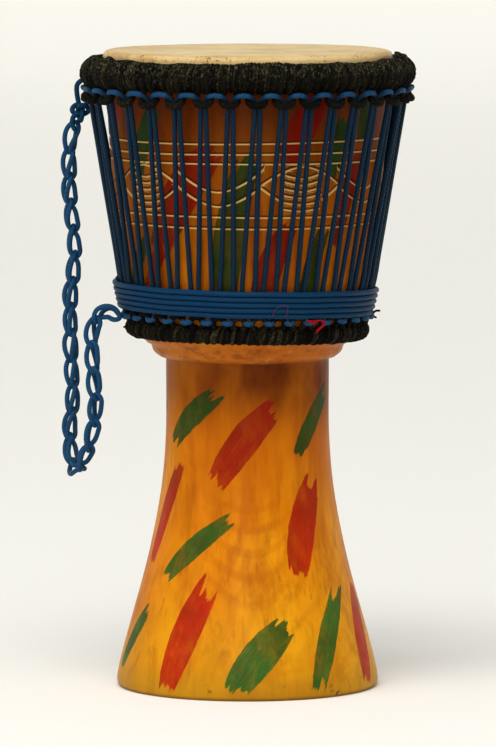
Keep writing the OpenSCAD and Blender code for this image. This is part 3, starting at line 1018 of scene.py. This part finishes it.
def wood_colour(s, at):
    """Amber wood: long fibres, faint growth rings round a pith off the axis, darker up high, partly as
    painted shade under the ledge and the crown.
    """
    x, y, z = s.split(at)
    bend = s.noise(at, 5.5, 3, 0.5)
    px = s.plus(x, s.scale_add(bend, 0.05, 0.004))
    py = s.plus(y, s.scale_add(z, -0.12, 0.02))
    rings = s.math("SINE", s.scale_add(s.length(px, py), 780.0, s.times(bend, 9.0)))
    fibre = s.noise(s.place((1, 1, 0.045)), 260, 4, 0.6)
    streak = s.noise(s.place((1, 1, 0.09)), 48, 4, 0.55)
    blotch = s.noise(s.place((1, 1, 0.55)), 13, 4, 0.6)
    colour = s.ramp(blotch, (0.28, "AE5E02"), (0.45, "CC7604"), (0.6, "DA8C0C"), (0.78, "E4A21A"))
    # Curved figure of the flat-sawn front, low on the stem
    wide = s.times(x, x, 14.0)
    arcs = s.math("SINE", s.times(s.minus(z, s.scale_add(bend, -0.05, wide)), 390.0))
    front = s.times(s.step(s.math("ABSOLUTE", x), 0.045, 0.012), s.step(y, -0.02, -0.05),
                    s.step(z, 0.055, 0.085), s.step(z, 0.185, 0.13))
    patches = s.noise(s.place((1, 1, 0.7)), 9, 5, 0.62, 0.8)
    ripples = s.noise(s.place((1, 1, 0.28)), 34, 5, 0.68, 1.2)
    # Painted shadow under the ledge's overhang, and the ledge's own worn top
    under = s.times(s.step(z, LEDGE_Z - 0.066, LEDGE_Z - 0.012), s.step(z, LEDGE_Z + 0.003, LEDGE_Z - 0.001))
    ledge = s.times(s.step(z, LEDGE_Z - 0.001, LEDGE_Z + 0.001), s.step(z, BOWL_Z + 0.008, BOWL_Z + 0.002))
    worn = s.noise(s.place((1, 1, 1.6)), 55, 5, 0.7, 0.5)
    colour = s.stains(
        colour,
        ("9A4E04", s.step(rings, 0.0, 1.0), 0.20),
        ("A84C02", s.step(streak, 0.48, 0.72), 0.45),
        ("7E3A02", s.step(fibre, 0.5, 0.72), 0.35),
        ("A85402", s.step(arcs, -0.2, 1.0), front, 0.36),
        # Yellow varnish, brown patches and dirt towards the foot
        ("D8AC18", s.step(z, 0.10, 0.02, 0.0, 0.30)),
        ("A85406", s.step(patches, 0.50, 0.64, 0.0, 0.42)),
        ("8C4404", s.step(ripples, 0.52, 0.66, 0.0, 0.30)),
        ("8E7418", s.step(z, 0.03, 0.0, 0.0, 0.45)),
        # Darker neck, partly dye and partly painted shade; painted shadow under the ledge; the worn ledge;
        # painted shade on the bowl under the crown, and dark streaks high on the bowl
        # Darker neck: partly dye, partly painted shade
        ("A04800", s.step(z, 0.11, 0.24), 0.62),
        # Painted shadow under the ledge
        ("441200", under, s.step(blotch, 0.35, 0.6, 1.0, 0.45), 0.94),
        ("A8622E", ledge, 0.35),
        ("5E2606", ledge, s.step(worn, 0.50, 0.66, 0.0, 0.55)),
        ("E0A868", ledge, s.step(worn, 0.44, 0.32, 0.0, 0.45)),
        # Painted shade on the bowl under the crown
        ("541800", s.step(z, 0.36, 0.465), 0.85),
        ("4A1C00", s.step(streak, 0.44, 0.60), s.step(z, 0.27, 0.33), 0.40))
    return colour, fibre, streak, z


def torn_end(s, along, across, seed, shift, deepest):
    """How far a stroke's end is torn back at this place across it: a few prongs, each frayed."""
    prongs = s.join(s.times(along, 0.7), s.times(across, 1.5), s.scale_add(seed, 37.0, shift))
    fray = s.join(s.times(along, 1.2), s.times(across, 9.0), s.scale_add(seed, 61.0, shift))
    deep = s.times(s.step(s.noise(prongs, 1.0, 1.5, 0.5), 0.44, 0.70), deepest)
    return s.scale_add(s.noise(fray, 1.0, 2.0, 0.6), 0.13, s.plus(deep, -0.045))


def brush_cover(s):
    """How much paint covers the wood, from the nearest stroke's fields: dry bristle ends, torn edges."""
    along, across, out = s.split(s.attribute("brush")["Vector"])
    red, seed, outer = s.split(s.attribute("tint")["Vector"])
    start = s.minus(along, torn_end(s, along, across, seed, 0.0, 0.11))
    end = s.minus(s.rest_of(along), torn_end(s, along, across, seed, 9.0, 0.17))
    ends = s.times(s.step(start, -0.006, 0.010), s.step(end, -0.006, 0.010))
    wobble = s.noise(s.join(s.times(along, 6.0), across, s.times(seed, 23.0)), 1.0, 3.0, 0.65)
    edge = s.step(s.plus(out, s.scale_add(wobble, 2.6, -1.5)), 0.30, -0.35)
    fine = s.noise(s.join(s.times(along, 2.0), s.times(across, 11.0), s.times(seed, 31.0)), 1.6, 3.0, 0.6)
    thin = s.noise(s.place((1, 1, 0.5)), 70, 4, 0.65)
    cover = s.times(ends, edge, s.step(thin, 0.28, 0.55, 0.82, 1.0), s.step(fine, 0.26, 0.44, 0.72, 1.0))
    return cover, red, fine, s.rest_of(outer)


def wood_look():
    """The painted shell: wood, brushed strokes, carved lines with painted shade and highlight, the raw
    inside and the scuffed foot with its darker bottom edge.
    """
    s = Shader("painted_wood", 0.045, Coat_Roughness=0.22)
    at = s.place()
    colour, fibre, streak, z = wood_colour(s, at)
    cover, red, fine, inside = brush_cover(s)
    wash = s.noise(at, 40, 3)
    reds = s.ramp(wash, (0.3, "8A0C02"), (0.7, "B21C08"))
    greens = s.ramp(wash, (0.3, "053C12"), (0.7, "106020"))
    high = s.times(s.step(z, 0.08, 0.24), 0.75)
    paint = s.mix(high, s.mix(red, greens, reds), s.mix(red, "082C06", "680A02"))
    paint = s.mix(s.times(s.step(fine, 0.45, 0.7), 0.12), paint, colour)
    colour = s.mix(s.times(cover, 0.96), colour, paint)
    side, near = s.split(s.attribute("carving")["Vector"])[:2]
    # Along each cut: a dark stain with painted shade above it, and bare pale wood with a painted highlight
    # below it
    dark = s.times(s.step(side, -0.05, 0.12), s.step(side, 0.62, 0.36))
    pale = s.times(s.step(side, 0.0, -0.14), s.step(side, -0.62, -0.42))
    colour = s.stains(colour, ("2C1605", dark, near, 0.75), ("F0C878", pale, near, 0.72))
    colour = s.mix(s.times(inside, 0.85), colour, s.ramp(streak, (0.3, "9A6A3C"), (0.7, "C79A66")))
    scuff = s.step(s.noise(at, 120, 4, 0.7), 0.60, 0.68)
    # Scuff marks low on the foot, and its lowest few millimetres darker
    colour = s.stains(colour, ("1E1208", scuff, s.step(z, 0.016, 0.002), 0.85),
                      ("5A3410", s.step(z, 0.0035, 0.0006), 0.6))
    rough = s.scale_add(inside, 0.35, s.scale_add(streak, 0.22, 0.30))
    s.put(s.bsdf["Coat Weight"], s.times(s.rest_of(inside), 0.025))
    grain = s.bump(s.scale_add(streak, 0.6, fibre), 0.25, 0.0006)
    return s.done(colour, rough, s.bump(cover, 0.35, 0.0003, Normal=grain))


# ---------- stage


def make_floor():
    """A plain pale sheet all round: the floor and a soft bend up into a low wall."""
    line = [(r, 0.0) for r in (0.0, 0.5, 2.0, 5.0, 7.5)]
    line += [(9 + 4 * sin(x), 4 - 4 * cos(x)) for x in np.linspace(0, pi / 2, 24)]
    verts, faces = revolve(line, 96)
    mesh = bpy.data.meshes.new("floor")
    mesh.from_pydata(verts.tolist(), [], [f[::-1] for f in faces])
    mesh.shade_smooth()
    s = Shader("pale_floor")
    weave = s.noise(s.place(), 700, 2)
    colour = s.ramp(weave, (0.3, "F8F7F2"), (0.7, "FCFCF8"))
    mesh.materials.append(s.done(colour, 0.9, s.bump(weave, 0.1, 0.001)))
    link(bpy.data.objects.new("floor", mesh))


def make_light(name, place, aim_z, size, power, colour=(1, 1, 1)):
    data = bpy.data.lights.new(name, "AREA")
    data.shape, data.size, data.size_y = "RECTANGLE", *size
    data.energy, data.color = power, colour
    aim(link(bpy.data.objects.new(name, data)), place, (0, 0, aim_z))


def make_lights():
    """Soft light from high in front, with weaker fill from the left and the front."""
    sun = bpy.data.lights.new("soft_sun", "SUN")
    sun.energy, sun.angle, sun.color = 1.9, radians(70), (1.0, 0.985, 0.95)
    link(bpy.data.objects.new("soft_sun", sun)).rotation_euler = (radians(38), 0, radians(-14))
    make_light("key", (-0.5, -1.5, 2.9), 0.25, (1.5, 1.1), 22, (1.0, 0.985, 0.95))
    make_light("fill_left", (-2.6, -1.6, 1.2), 0.3, (1.2, 1.8), 7)
    make_light("front", (-0.3, -4.0, 1.3), 0.2, (1.8, 1.2), 12)
    world = bpy.data.worlds.new("soft_sky")
    world.use_nodes = True
    back = world.node_tree.nodes["Background"]
    back.inputs[0].default_value = (1.0, 0.99, 0.96, 1)
    back.inputs[1].default_value = 0.34
    bpy.context.scene.world = world


# ---------- the build

make_camera()
LOOKS = {"blue_rope": blue_rope_look(), "black_cord": black_cord_look(), "carved_wood": wood_look(),
         "goat_skin": skin_look(), "hoop_steel": steel_look()}

STRAP, STRAP_LINE = make_strap()
HITCH = make_strap_hitch()
STRAP_KNOT = make_strap_knot()

make_shell()
SKIN = make_skin()
make_crown_binding()
make_crown_loops()
make_waist_binding()
make_waist_loops()
make_lacing()
make_waist_wrap()
make_threads()

for hoop in ("flesh_hoop", "crown_hoop", "waist_hoop"):
    node = frame["nodes"][hoop]
    node.data.materials.clear()
    node.data.materials.append(LOOKS["hoop_steel"])

make_floor()
make_lights()
